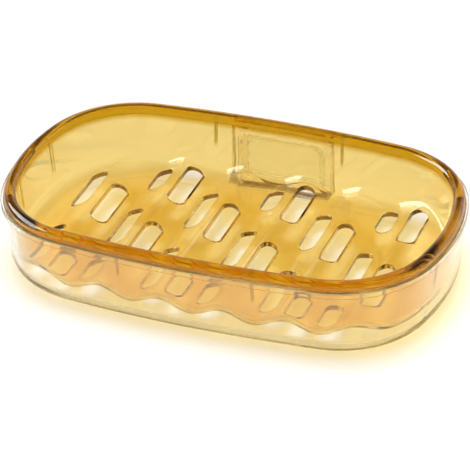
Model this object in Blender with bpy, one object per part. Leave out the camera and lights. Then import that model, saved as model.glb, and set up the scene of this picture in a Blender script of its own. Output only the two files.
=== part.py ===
"""Two-layer soap holder: a clear tub, an amber drain tray and a suction plate.

Metres, +Z up. X runs along the holder and its front is -Y. The origin is the
middle of the tub's flat underside, on the table.
"""
import bmesh
import bpy
from math import asin, cos, pi, radians, sin, sqrt
from mathutils import Vector

# Plan of the rim, along the middle of the tray's bead
BEAD_LENGTH = 0.1314
BEAD_WIDTH = 0.0785
CORNER_RADIUS = 0.0278
LONG_SIDE_BOW = 0.0018
SHORT_SIDE_BOW = 0.00125

# Drain tray
BEAD_RADIUS = 0.0018
BEAD_HEIGHT = 0.0238
BEAD_SEAT_DROP = 0.0014
TRAY_WALL = 0.0014
TRAY_WALL_INSET = 0.00005
TRAY_FLOOR = 0.0016
TRAY_FLOOR_HEIGHT = 0.0076
TRAY_FILLET = 0.0032

# Waves of the tray's floor, which run from front to back
WAVE_PITCH = 0.0189
WAVE_HEIGHT = 0.0028
WAVE_SHIFT = 0.0005

# Drain slots in columns from front to back; four kinds of column repeat, so that they stagger.
# Starts are measured from the middle towards the back, in shares of a long slot.
SLOT_SPACING = 0.0091
SLOT_SHIFT = 0.00245
SLOT_WIDTH = 0.0050
SLOT_LONG = 0.0200
SLOT_START_SHARES = ((0.15, -1.45), (-0.19, -1.6), (0.96, -0.66, -1.55), (0.625, -1.015))
SLOT_LENGTH_SHARES = ((0.97, 1.0), (1.0, 0.56), (0.56, 1.0, 0.56), (1.0, 1.0))
SLOT_INTO_CORNER = 0.0037
SLOT_OVERRUN = 0.006

# Small wedge ribs that centre the tray in the tub
RIB_LENGTH_LONG_SIDE = 0.0080
RIB_LENGTH_SHORT_SIDE = 0.0115
RIB_WIDTH = 0.0009
RIB_PROUD = 0.0004
RIB_TIP_PROUD = 0.0001
RIB_ROOT = 0.0007
RIB_FROM_MIDDLE_LONG = 0.0204
RIB_FROM_MIDDLE_SHORT = 0.0110

# Clear tub
TUB_WALL = 0.0014
TUB_FLOOR = 0.0020
TUB_FILLET = 0.0055
TUB_DRAFT = radians(3.9)
TRAY_CLEARANCE = 0.0007
SEAT_GAP = 0.0003
LIP_PROUD = 0.0008
LIP_HEIGHT = 0.0019
LIP_BELOW_BEAD = 0.0008
LIP_ROUND = 0.0002

# Socket moulded on the tub's back, open below
SOCKET_WIDTH = 0.0322
SOCKET_DEPTH = 0.0037
SOCKET_HEIGHT = 0.0204
SOCKET_EDGE = 0.0010
SOCKET_BACK_WALL = 0.0014
SOCKET_LIP = 0.0042
SOCKET_TOP_BAR = 0.0040
SOCKET_FRONT_WALL = 0.0003
CHANNEL_ROOF = 0.0018
WINDOW_CORNER = 0.0030

# Wall plate that the socket drops over
TONGUE = 0.0013
TONGUE_CORNER = 0.0030
TONGUE_LEAD_IN = 0.0004
PLATE_GAP = 0.0003
FLANGE = 0.0014
FLANGE_INSIDE_SOCKET = 0.0007
FLANGE_BELOW_SOCKET_TOP = 0.0020
FLANGE_CORNER = 0.0040
FLANGE_EDGE = 0.0003
RECESS_INSET = 0.0024
RECESS_DEPTH = 0.0008
RECESS_CORNER = 0.0025

# Soft suction pad
PAD_THICKNESS = 0.0027
PAD_INSET = 0.0003
PAD_CORNER = 0.0055
PAD_RIM = 0.0016
PAD_DISH = 0.0009
PAD_DISH_SLOPE = 0.0022
PAD_KEY_GAP = 0.0002

# One overrun for every cut, and the distance at which points are merged
OVERRUN = 0.004
MERGE_DISTANCE = 0.000001

# Facets
LONG_SEGMENTS = 20
TUB_LONG_SEGMENTS = 5
CORNER_SEGMENTS = 16
TUB_CORNER_SEGMENTS = 12
SHORT_SEGMENTS = 2
BEAD_SEGMENTS = 12
FILLET_SEGMENTS = 4
TUB_FILLET_SEGMENTS = 5
SOCKET_EDGE_SEGMENTS = 3
SLOT_END_SEGMENTS = 6
PANEL_CORNER_SEGMENTS = 6
SHARP_ANGLE = radians(34)

# Worked out
CORNER_X = BEAD_LENGTH / 2 - CORNER_RADIUS - SHORT_SIDE_BOW
CORNER_Y = BEAD_WIDTH / 2 - CORNER_RADIUS - LONG_SIDE_BOW
LONG_ARC = (CORNER_X ** 2 + LONG_SIDE_BOW ** 2) / (2 * LONG_SIDE_BOW)
SHORT_ARC = (CORNER_Y ** 2 + SHORT_SIDE_BOW ** 2) / (2 * SHORT_SIDE_BOW)
LONG_CENTRE_Y = CORNER_Y + LONG_SIDE_BOW - LONG_ARC
SHORT_CENTRE_X = CORNER_X + SHORT_SIDE_BOW - SHORT_ARC
LONG_ANGLE = asin(CORNER_X / LONG_ARC)
SHORT_ANGLE = asin(CORNER_Y / SHORT_ARC)
DRAFT_SLOPE = sin(TUB_DRAFT) / cos(TUB_DRAFT)
SEAT_HEIGHT = BEAD_HEIGHT - BEAD_SEAT_DROP
SHELF_HEIGHT = SEAT_HEIGHT - SEAT_GAP
LIP_TOP = BEAD_HEIGHT - LIP_BELOW_BEAD
LIP_BOTTOM = LIP_TOP - LIP_HEIGHT
TRAY_OUTER = -TRAY_WALL_INSET
TRAY_INNER = TRAY_OUTER - TRAY_WALL
TRAY_FLOOR_EDGE = TRAY_INNER - (SEAT_HEIGHT - TRAY_FLOOR_HEIGHT - TRAY_FILLET) * DRAFT_SLOPE - TRAY_FILLET
TRAY_FOOT_ROUND = TRAY_FILLET + TRAY_WALL
WAVES_EACH_SIDE = int((BEAD_LENGTH / 2 + TRAY_FLOOR_EDGE - abs(WAVE_SHIFT)) / WAVE_PITCH)
COLUMNS_EACH_SIDE = int((BEAD_LENGTH / 2 + TRAY_FLOOR_EDGE) / SLOT_SPACING)
TUB_INNER = TRAY_OUTER + TRAY_CLEARANCE
TUB_OUTER = TUB_INNER + TUB_WALL
LIP_OUTER = TUB_OUTER + LIP_PROUD
BACK_OF_TUB = BEAD_WIDTH / 2 + TUB_OUTER
CHANNEL_FRONT = BACK_OF_TUB + SOCKET_FRONT_WALL
SOCKET_BACK = BACK_OF_TUB + SOCKET_DEPTH
CHANNEL_BACK = SOCKET_BACK - SOCKET_BACK_WALL
CHANNEL_TOP = SOCKET_HEIGHT - CHANNEL_ROOF
CHANNEL_HALF = SOCKET_WIDTH / 2 - SOCKET_LIP / 2
WINDOW_HALF = SOCKET_WIDTH / 2 - SOCKET_LIP
WINDOW_TOP = SOCKET_HEIGHT - SOCKET_TOP_BAR
TONGUE_FRONT = CHANNEL_BACK - PLATE_GAP - TONGUE
TONGUE_BACK = CHANNEL_BACK - PLATE_GAP
FLANGE_WIDTH = SOCKET_WIDTH - 2 * FLANGE_INSIDE_SOCKET
FLANGE_HEIGHT = SOCKET_HEIGHT - FLANGE_BELOW_SOCKET_TOP
FLANGE_FRONT = SOCKET_BACK + PLATE_GAP
FLANGE_BACK = FLANGE_FRONT + FLANGE
PAD_FRONT = FLANGE_BACK + SEAT_GAP
PAD_BACK = PAD_FRONT + PAD_THICKNESS


def clear_scene():
    for old in list(bpy.data.objects):
        bpy.data.objects.remove(old, do_unlink=True)


def plastic(name, colour, roughness, transmission):
    """A moulded plastic or rubber with its own colour and gloss."""
    material = bpy.data.materials.new(name)
    material.use_nodes = True
    shader = material.node_tree.nodes["Principled BSDF"]
    shader.inputs["Base Color"].default_value = colour
    shader.inputs["Roughness"].default_value = roughness
    shader.inputs["Metallic"].default_value = 0.0
    shader.inputs["Transmission Weight"].default_value = transmission
    material.diffuse_color = colour
    return material


def make_object(name, bm, material=None):
    """Turn a bmesh into a named object; one without a material is a tool shape."""
    bmesh.ops.remove_doubles(bm, verts=bm.verts, dist=MERGE_DISTANCE)
    bmesh.ops.recalc_face_normals(bm, faces=bm.faces)
    mesh = bpy.data.meshes.new(name)
    bm.to_mesh(mesh)
    bm.free()
    mesh.shade_smooth()
    mesh.set_sharp_from_angle(angle=SHARP_ANGLE)
    thing = bpy.data.objects.new(name, mesh)
    bpy.context.collection.objects.link(thing)
    if material is None:
        thing.hide_render = True
        thing.display_type = "WIRE"
    else:
        mesh.materials.append(material)
    return thing


def combine(body, tool, operation):
    """Cut a tool shape from a body, or join it on."""
    modifier = body.modifiers.new(tool.name, "BOOLEAN")
    modifier.operation = operation
    modifier.object = tool
    modifier.solver = "EXACT"


# Plan outline: a rounded rectangle whose four sides bow outwards


def arc(offset, height, radius, start, end, steps):
    """Points of a section on an arc; each is an offset from the outline and a height."""
    angles = [start + (end - start) * step / steps for step in range(steps + 1)]
    return [(offset + radius * cos(angle), height + radius * sin(angle)) for angle in angles]


def sweep(section, long_segments, corner_segments):
    """Carry a section round the outline and close its two open ends.

    The outline is made of arcs, and an offset keeps their centres. So the
    section is spun about each centre in turn, from the right end to the middle
    of the back, and that quarter is mirrored.
    """
    bm = bmesh.new()
    points = [bm.verts.new((BEAD_LENGTH / 2 + out, 0.0, up)) for out, up in section]
    geom = points + [bm.edges.new(pair) for pair in zip(points, points[1:])]
    turns = (
        ((SHORT_CENTRE_X, 0.0, 0.0), SHORT_ANGLE, SHORT_SEGMENTS),
        ((CORNER_X, CORNER_Y, 0.0), pi / 2 - SHORT_ANGLE - LONG_ANGLE, corner_segments),
        ((0.0, LONG_CENTRE_Y, 0.0), LONG_ANGLE, long_segments),
    )
    for centre, angle, steps in turns:
        spun = bmesh.ops.spin(bm, geom=geom, cent=centre, axis=(0, 0, 1), dvec=(0, 0, 0),
                              angle=angle, steps=steps, use_merge=False, use_duplicate=False)
        geom = spun["geom_last"]
    for axis in "XY":
        quarter = bm.verts[:] + bm.edges[:] + bm.faces[:]
        bmesh.ops.mirror(bm, geom=quarter, axis=axis, merge_dist=MERGE_DISTANCE)
    bmesh.ops.remove_doubles(bm, verts=bm.verts, dist=MERGE_DISTANCE)
    bmesh.ops.holes_fill(bm, edges=[edge for edge in bm.edges if edge.is_boundary], sides=0)
    return bm


# Drain tray


def wave(x):
    """Height of the floor's wave above its middle, with flat ends."""
    along = max(-WAVES_EACH_SIDE, min(WAVES_EACH_SIDE, (x - WAVE_SHIFT) / WAVE_PITCH))
    return -WAVE_HEIGHT / 2 * cos(2 * pi * along)


def floor_top(x):
    return TRAY_FLOOR_HEIGHT + wave(x)


def floor_underside(x):
    return TRAY_FLOOR_HEIGHT - TRAY_FLOOR + wave(x)


def tray_wall_offset(face, height):
    """Offset of a drafted wall face that is at this offset at the seat."""
    return face - (SEAT_HEIGHT - height) * DRAFT_SLOPE


def tray_section():
    """Half of the tray cut across, from under its floor, over the bead, to its floor."""
    foot_middle = TRAY_FLOOR_HEIGHT - TRAY_FLOOR + TRAY_FOOT_ROUND
    foot = tray_wall_offset(TRAY_OUTER, foot_middle) - TRAY_FOOT_ROUND
    bead_start = -asin(BEAD_SEAT_DROP / BEAD_RADIUS)
    bead_end = pi + asin(sqrt(BEAD_RADIUS ** 2 - TRAY_INNER ** 2) / BEAD_RADIUS)
    fillet_middle = TRAY_FLOOR_HEIGHT + TRAY_FILLET
    return [
        *arc(foot, foot_middle, TRAY_FOOT_ROUND, -pi / 2, 0.0, FILLET_SEGMENTS),
        (TRAY_OUTER, SEAT_HEIGHT),
        *arc(0.0, BEAD_HEIGHT, BEAD_RADIUS, bead_start, bead_end, BEAD_SEGMENTS),
        *arc(TRAY_FLOOR_EDGE, fillet_middle, TRAY_FILLET, 0.0, -pi / 2, FILLET_SEGMENTS),
    ]


def divide_floor(bm):
    """Divide both flat faces that close the sweep into strips along y, so that they can wave."""
    for face in [face for face in bm.faces if len(face.verts) > 4]:
        back = [corner for corner in face.verts if corner.co.y > MERGE_DISTANCE]
        front = [corner for corner in face.verts if corner.co.y < -MERGE_DISTANCE]
        for corner in back:
            mate = min(front, key=lambda other: abs(other.co.x - corner.co.x))
            bmesh.ops.connect_verts(bm, verts=[corner, mate])


def tray_shell():
    """Bead, drafted wall, filleted corner and wavy floor as one moulding."""
    bm = sweep(tray_section(), LONG_SEGMENTS, CORNER_SEGMENTS)
    divide_floor(bm)
    waved = TRAY_FLOOR_HEIGHT + TRAY_FILLET + MERGE_DISTANCE
    for corner in bm.verts:
        if corner.co.z < waved:
            corner.co.z += wave(corner.co.x)
    return bm


def floor_reach(x):
    """How far the flat of the floor runs from the middle towards the back at x."""
    radius = CORNER_RADIUS + TRAY_FLOOR_EDGE
    past = max(0.0, abs(x) - CORNER_X)
    return CORNER_Y + sqrt(radius ** 2 - past ** 2)


def slots():
    """Middle of each slot, as x, and its two ends, as y."""
    found = []
    kinds = len(SLOT_START_SHARES)
    for column in range(-COLUMNS_EACH_SIDE, COLUMNS_EACH_SIDE):
        x = SLOT_SHIFT + column * SLOT_SPACING
        limit = floor_reach(abs(x) + SLOT_WIDTH / 2) + SLOT_INTO_CORNER
        kind = (column + COLUMNS_EACH_SIDE) % kinds
        for share, length_share in zip(SLOT_START_SHARES[kind], SLOT_LENGTH_SHARES[kind]):
            start = share * SLOT_LONG
            end = start + length_share * SLOT_LONG
            found.append((x, max(start, -limit), min(end, limit)))
    return found


def slot_cutter():
    """A round-ended bar through the floor for each slot."""
    bm = bmesh.new()
    low = TRAY_FLOOR_HEIGHT - SLOT_OVERRUN
    for x, start, end in slots():
        radius = SLOT_WIDTH / 2
        outline = []
        for middle, turn in ((end - radius, 0.0), (start + radius, pi)):
            for step in range(SLOT_END_SEGMENTS + 1):
                angle = turn + pi * step / SLOT_END_SEGMENTS
                place = (x + radius * cos(angle), middle + radius * sin(angle), low)
                outline.append(bm.verts.new(place))
        face = bm.faces.new(outline)
        grown = bmesh.ops.extrude_face_region(bm, geom=[face])
        moved = [item for item in grown["geom"] if isinstance(item, bmesh.types.BMVert)]
        bmesh.ops.translate(bm, verts=moved, vec=(0.0, 0.0, 2 * SLOT_OVERRUN))
    return make_object("slot_cutter", bm)


def ribs():
    """Each rib's arc centre, the way that it faces, the arc's radius and its length."""
    found = []
    for side_x in (-1, 1):
        for side_y in (-1, 1):
            radius = LONG_ARC + CORNER_RADIUS
            across = RIB_FROM_MIDDLE_LONG / radius
            normal = Vector((side_x * across, side_y * sqrt(1 - across ** 2), 0.0))
            centre = Vector((0.0, side_y * LONG_CENTRE_Y, 0.0))
            found.append((centre, normal, radius, RIB_LENGTH_LONG_SIDE))
            radius = SHORT_ARC + CORNER_RADIUS
            across = RIB_FROM_MIDDLE_SHORT / radius
            normal = Vector((side_x * sqrt(1 - across ** 2), side_y * across, 0.0))
            centre = Vector((side_x * SHORT_CENTRE_X, 0.0, 0.0))
            found.append((centre, normal, radius, RIB_LENGTH_SHORT_SIDE))
    return found


def rib_shapes():
    """Wedges that taper to almost nothing down the wall, rooted in wall and bead."""
    bm = bmesh.new()
    top = SEAT_HEIGHT + BEAD_SEAT_DROP / 2
    for centre, normal, radius, length in ribs():
        side = Vector((-normal.y, normal.x, 0.0)) * RIB_WIDTH / 2
        foot = SEAT_HEIGHT - length
        corners = []
        for height, proud in ((top, RIB_PROUD), (foot, RIB_TIP_PROUD)):
            face = radius + tray_wall_offset(TRAY_OUTER, height)
            for depth in (face - RIB_ROOT, face + proud):
                middle = centre + normal * depth + Vector((0.0, 0.0, height))
                corners += [bm.verts.new(middle - side), bm.verts.new(middle + side)]
        bmesh.ops.convex_hull(bm, input=corners)
    return make_object("rib_shapes", bm)


def drain_tray():
    tray = make_object("drain_tray", tray_shell(), plastic("amber", (0.85, 0.5, 0.06, 1), 0.08, 0.9))
    combine(tray, rib_shapes(), "UNION")
    combine(tray, slot_cutter(), "DIFFERENCE")
    return tray


# Clear tub


def tub_wall_offset(face, height):
    """Offset of a drafted wall face that is at this offset at the shelf."""
    return face - (SHELF_HEIGHT - height) * DRAFT_SLOPE


def tub_outside():
    """Solid outside of the tub: filleted foot, drafted wall and stepped lip."""
    foot = tub_wall_offset(TUB_OUTER, TUB_FILLET) - TUB_FILLET
    section = [
        *arc(foot, TUB_FILLET, TUB_FILLET, -pi / 2, 0.0, TUB_FILLET_SEGMENTS),
        (TUB_OUTER, LIP_BOTTOM),
        (LIP_OUTER - LIP_ROUND, LIP_BOTTOM),
        (LIP_OUTER, LIP_BOTTOM + LIP_ROUND),
        (LIP_OUTER, LIP_TOP - LIP_ROUND),
        (LIP_OUTER - LIP_ROUND, LIP_TOP),
    ]
    return sweep(section, TUB_LONG_SEGMENTS, TUB_CORNER_SEGMENTS)


def tub_inside():
    """Everything that the tub is hollowed by: basin, shelf and bead recess."""
    radius = TUB_FILLET - TUB_WALL
    foot = tub_wall_offset(TUB_INNER, TUB_FLOOR + radius) - radius
    recess = sqrt((BEAD_RADIUS + SEAT_GAP) ** 2 - LIP_BELOW_BEAD ** 2)
    seat_width = sqrt(BEAD_RADIUS ** 2 - BEAD_SEAT_DROP ** 2) + SEAT_GAP
    section = [
        *arc(foot, TUB_FLOOR + radius, radius, -pi / 2, 0.0, TUB_FILLET_SEGMENTS),
        (TUB_INNER, SHELF_HEIGHT),
        (seat_width, SHELF_HEIGHT),
        (recess, LIP_TOP),
        (recess, LIP_TOP + OVERRUN),
    ]
    return make_object("tub_inside", sweep(section, TUB_LONG_SEGMENTS, TUB_CORNER_SEGMENTS))


def box(bm, half_x, front, back, low, high):
    """An upright block, symmetrical about x = 0."""
    made = bmesh.ops.create_cube(bm, size=1.0)
    size = (2 * half_x, back - front, high - low)
    bmesh.ops.scale(bm, verts=made["verts"], vec=size)
    middle = (0.0, (front + back) / 2, (low + high) / 2)
    bmesh.ops.translate(bm, verts=made["verts"], vec=middle)
    return made["verts"]


def round_edges(bm, keep, radius, segments):
    """Bevel the edges that a test keeps; it is given each edge's two ends."""
    edges = [edge for edge in bm.edges if keep(edge.verts[0].co, edge.verts[1].co)]
    bmesh.ops.bevel(bm, geom=edges, offset=radius, offset_type="OFFSET", affect="EDGES",
                    segments=segments, profile=0.5, material=-1)


def along_y(start, end):
    return abs(start.x - end.x) + abs(start.z - end.z) < abs(start.y - end.y) / 2


def panel(half_x, front, back, low, high, top_radius, foot_radius):
    """An upright plate whose corners are rounded as seen from the back."""
    bm = bmesh.new()
    box(bm, half_x, front, back, low, high)
    middle = (low + high) / 2
    if top_radius:
        round_edges(bm, lambda a, b: along_y(a, b) and a.z > middle, top_radius,
                    PANEL_CORNER_SEGMENTS)
    if foot_radius:
        round_edges(bm, lambda a, b: along_y(a, b) and a.z < middle, foot_radius,
                    PANEL_CORNER_SEGMENTS)
    return bm


def socket_block():
    """The boss on the tub's back wall that the socket is cut in."""
    bm = bmesh.new()
    front = BACK_OF_TUB - TUB_FILLET
    box(bm, SOCKET_WIDTH / 2, front, SOCKET_BACK, 0.0, SOCKET_HEIGHT)
    middle = (front + SOCKET_BACK) / 2

    def outer_edge(start, end):
        at_back = min(start.y, end.y) > middle
        upright = abs(start.z - end.z) > SOCKET_HEIGHT / 2
        at_top = min(start.z, end.z) > SOCKET_HEIGHT / 2
        return at_back and (upright or at_top)

    round_edges(bm, outer_edge, SOCKET_EDGE, SOCKET_EDGE_SEGMENTS)
    return make_object("socket_block", bm)


def water_tub():
    tub = make_object("water_tub", tub_outside(), plastic("clear", (0.93, 0.92, 0.88, 1), 0.06, 0.95))
    combine(tub, socket_block(), "UNION")
    combine(tub, tub_inside(), "DIFFERENCE")
    channel = panel(CHANNEL_HALF, CHANNEL_FRONT, CHANNEL_BACK, -OVERRUN, CHANNEL_TOP,
                    TONGUE_CORNER + PLATE_GAP, 0.0)
    combine(tub, make_object("tongue_channel", channel), "DIFFERENCE")
    window = panel(WINDOW_HALF, CHANNEL_BACK - PLATE_GAP, SOCKET_BACK + OVERRUN, -OVERRUN,
                   WINDOW_TOP, WINDOW_CORNER, 0.0)
    combine(tub, make_object("socket_window", window), "DIFFERENCE")
    return tub


# Wall plate and its suction pad


def key_shape(name, front, back, gap):
    """The rounded block that keys pad and plate together, smaller all round by a gap."""
    inset = RECESS_INSET + gap
    bm = panel(FLANGE_WIDTH / 2 - inset, front, back, inset, FLANGE_HEIGHT - inset,
               RECESS_CORNER - gap, RECESS_CORNER - gap)
    return make_object(name, bm)


def wall_plate():
    """Tongue, neck and flange, with a shallow recess for the pad's key."""
    tongue_half = CHANNEL_HALF - PLATE_GAP
    tongue_top = CHANNEL_TOP - PLATE_GAP
    bm = panel(tongue_half, TONGUE_FRONT, TONGUE_BACK, 0.0, tongue_top, TONGUE_CORNER, 0.0)
    middle = tongue_top / 2

    def lead_edge(start, end):
        return min(start.z, end.z) > middle and not along_y(start, end)

    round_edges(bm, lead_edge, TONGUE_LEAD_IN, 1)
    plate = make_object("wall_plate", bm, plastic("clear_plate", (0.92, 0.92, 0.9, 1), 0.1, 0.9))
    neck = panel(WINDOW_HALF - PLATE_GAP, TONGUE_BACK - TONGUE / 2, FLANGE_FRONT + FLANGE / 2,
                 0.0, WINDOW_TOP - PLATE_GAP, WINDOW_CORNER, 0.0)
    combine(plate, make_object("plate_neck", neck), "UNION")
    flange = panel(FLANGE_WIDTH / 2, FLANGE_FRONT, FLANGE_BACK, 0.0, FLANGE_HEIGHT,
                   FLANGE_CORNER, FLANGE_CORNER / 2)
    bmesh.ops.bevel(flange, geom=[e for e in flange.edges if not along_y(*[v.co for v in e.verts])],
                    offset=FLANGE_EDGE, offset_type="OFFSET", affect="EDGES", segments=1,
                    profile=0.5, material=-1)
    combine(plate, make_object("plate_flange", flange), "UNION")
    recess = key_shape("key_recess", FLANGE_BACK - RECESS_DEPTH, FLANGE_BACK + OVERRUN, 0.0)
    combine(plate, recess, "DIFFERENCE")
    return plate


def suction_pad():
    """Rounded pad with a shallow dish towards the wall and a key on its front."""
    top = FLANGE_HEIGHT - PAD_INSET
    bm = panel(FLANGE_WIDTH / 2, PAD_FRONT, PAD_BACK, PAD_INSET, top, PAD_CORNER, PAD_CORNER)
    face = max(bm.faces, key=lambda item: item.calc_center_median().y)
    bmesh.ops.inset_region(bm, faces=[face], thickness=PAD_RIM, use_even_offset=True)
    bmesh.ops.inset_region(bm, faces=[face], thickness=PAD_DISH_SLOPE, depth=-PAD_DISH,
                           use_even_offset=True)
    pad = make_object("suction_pad", bm, plastic("soft_clear", (0.9, 0.9, 0.88, 1), 0.3, 0.7))
    key = key_shape("pad_key", FLANGE_BACK - RECESS_DEPTH + PAD_KEY_GAP,
                    PAD_FRONT + PAD_THICKNESS / 4, PAD_KEY_GAP)
    combine(pad, key, "UNION")
    return pad


def main():
    """The plate holds the pad and carries the tub, and the tub carries the tray."""
    clear_scene()
    plate = wall_plate()
    suction_pad().parent = plate
    tub = water_tub()
    tub.parent = plate
    drain_tray().parent = tub


main()
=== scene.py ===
"""Looks of a two-layer soap holder: a clear tub, an amber drain tray and a suction plate.

Metres, +Z up. X runs along the holder and its front is -Y.
"""

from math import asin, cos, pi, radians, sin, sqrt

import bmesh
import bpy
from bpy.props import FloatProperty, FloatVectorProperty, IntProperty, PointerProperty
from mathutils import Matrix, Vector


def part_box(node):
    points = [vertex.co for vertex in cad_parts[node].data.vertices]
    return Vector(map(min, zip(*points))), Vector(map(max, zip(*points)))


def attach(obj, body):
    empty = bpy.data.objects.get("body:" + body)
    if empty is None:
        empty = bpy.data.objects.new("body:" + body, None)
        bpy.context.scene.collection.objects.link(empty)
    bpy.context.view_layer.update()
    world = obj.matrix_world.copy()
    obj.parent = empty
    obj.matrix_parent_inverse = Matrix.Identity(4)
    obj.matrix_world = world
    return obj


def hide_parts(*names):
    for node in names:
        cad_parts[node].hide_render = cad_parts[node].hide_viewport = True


bl_info = {
    "name": "Soap Holder",
    "version": (1, 0, 0),
    "blender": (4, 5, 0),
    "location": "View3D > Sidebar > Soap Holder",
    "description": "Builds a clear tub, an amber drain tray and their suction plate",
    "category": "Add Mesh",
}

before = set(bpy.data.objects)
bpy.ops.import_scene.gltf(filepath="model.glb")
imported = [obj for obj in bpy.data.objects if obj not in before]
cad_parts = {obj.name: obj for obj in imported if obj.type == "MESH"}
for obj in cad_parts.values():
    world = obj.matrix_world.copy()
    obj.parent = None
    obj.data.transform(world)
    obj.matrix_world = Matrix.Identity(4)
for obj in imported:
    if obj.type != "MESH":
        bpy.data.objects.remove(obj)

MERGE_DISTANCE = 0.000001
SHARP_ANGLE = radians(34)
TRAY_LOW, TRAY_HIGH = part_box("drain_tray")
BEAD_RADIUS = 0.0018
WHITE = (1.0, 1.0, 1.0)

# Steps of the rounds; a sweep has steps for a long side's half, a corner and a short side's half
TRAY_STEPS = (56, 40, 6)
TUB_STEPS = (30, 36, 4)
TRAY_FOOT_STEPS = 8
BEAD_STEPS = 36
FILLET_STEPS = 12
TUB_FOOT_STEPS = 14
LIP_STEPS = 4
CORNER_STEPS = 12
SOCKET_EDGE_STEPS = 6
SMALL_EDGE_STEPS = 3
RIB_EDGE_STEPS = 4
SLOT_END_STEPS = 40
SLOT_EDGE_ANGLES = (0.0, 18.0, 36.0, 54.0, 70.0)

# Each kind of column has slots that start and last for these shares of a long slot
SLOT_START_SHARES = ((0.15, -1.45), (-0.19, -1.6), (0.96, -0.66, -1.55), (0.625, -1.015))
SLOT_LENGTH_SHARES = ((0.97, 1.0), (1.0, 0.56), (0.56, 1.0, 0.56), (1.0, 1.0))

# The ribs' painted shade, a darker tint for the dark lines that they show in the light: its full shares
# of a rib's half width and length, then its place inside the rim
RIB_CORE_SHARE = 0.6
RIB_FULL_SHARE = 0.8
RIB_SHADE_START = 0.010
RIB_SHADE_FULL = 0.009

SMEAR_NOISE = {"Scale": 45.0, "Detail": 4.0, "Roughness": 0.6}
SMEAR_RANGE = (0.45, 0.75)
RIPPLE_NOISE = {"Detail": 1.0, "Roughness": 0.4}
RIPPLE_DEPTH = 0.00001

# The room that gloss and glass see is dark at the front, and in a high band for shallow paths;
# each pair is where a mask begins and where it is full
FRONT_FADE = (0.55, 0.15)
BAND_FOOT = (0.35, 0.5)
BAND_TOP = (0.9, 0.7)
SHALLOW_PATH = (3.0, 2.0)
BOUNCES = 32

FLOOR_HALF = 4.0
FLOOR_GAP = 0.0002
FLOOR_ROUGHNESS = 0.7
SENSOR_WIDTH = 36.0
NEAREST = 0.01
FARTHEST = 50.0

# Each lamp's name, place, width, height and power, and whether only gloss sees it
LAMPS = (
    ("top_softbox", (-0.02, 0.03, 1.1), 0.6, 0.6, 11.6, False),
    ("key_softbox", (-0.93, -0.1, 0.56), 1.0, 0.6, 18.0, True),
)

FLOAT = "NodeSocketFloat"
COLOR = "NodeSocketColor"
VECTOR = "NodeSocketVector"


def length(name, description, default):
    """A size in metres that a user can change."""
    return FloatProperty(name=name, description=description, default=default,
                         unit="LENGTH", precision=5)


def share(name, description, default):
    """A plain number between nothing and one."""
    return FloatProperty(name=name, description=description, default=default,
                         min=0.0, max=1.0, subtype="FACTOR")


def tint(name, description, default):
    """A linear colour."""
    return FloatVectorProperty(name=name, description=description, default=default,
                               size=3, min=0.0, max=1.0, subtype="COLOR")


def count(name, description, default):
    """A whole number."""
    return IntProperty(name=name, description=description, default=default, min=1)


def amount(name, description, default):
    """Any number above nothing."""
    return FloatProperty(name=name, description=description, default=default, min=0.0,
                         subtype="UNSIGNED")


def rotation(name, description, default):
    """An angle, given in degrees."""
    return FloatProperty(name=name, description=description, default=radians(default),
                         subtype="ANGLE")


# Sizes


class RimPlan(bpy.types.PropertyGroup):
    """Plan of the rim, along the middle of the tray's bead: a rounded rectangle with bowed sides."""

    long_side: length("Length", "Rim's length along the bead's middle",
                      TRAY_HIGH.x - TRAY_LOW.x - 2 * BEAD_RADIUS)
    short_side: length("Width", "Rim's width along the bead's middle",
                       TRAY_HIGH.y - TRAY_LOW.y - 2 * BEAD_RADIUS)
    corner_radius: length("Corner radius", "Radius of the four corners", 0.0278)
    long_side_bow: length("Long side bow", "How far a long side bows outwards", 0.0018)
    short_side_bow: length("Short side bow", "How far a short side bows outwards", 0.00125)

    @property
    def corner_x(self):
        return self.long_side / 2 - self.corner_radius - self.short_side_bow

    @property
    def corner_y(self):
        return self.short_side / 2 - self.corner_radius - self.long_side_bow

    @property
    def long_arc(self):
        return (self.corner_x ** 2 + self.long_side_bow ** 2) / (2 * self.long_side_bow)

    @property
    def short_arc(self):
        return (self.corner_y ** 2 + self.short_side_bow ** 2) / (2 * self.short_side_bow)

    @property
    def long_centre_y(self):
        return self.corner_y + self.long_side_bow - self.long_arc

    @property
    def short_centre_x(self):
        return self.corner_x + self.short_side_bow - self.short_arc


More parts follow.
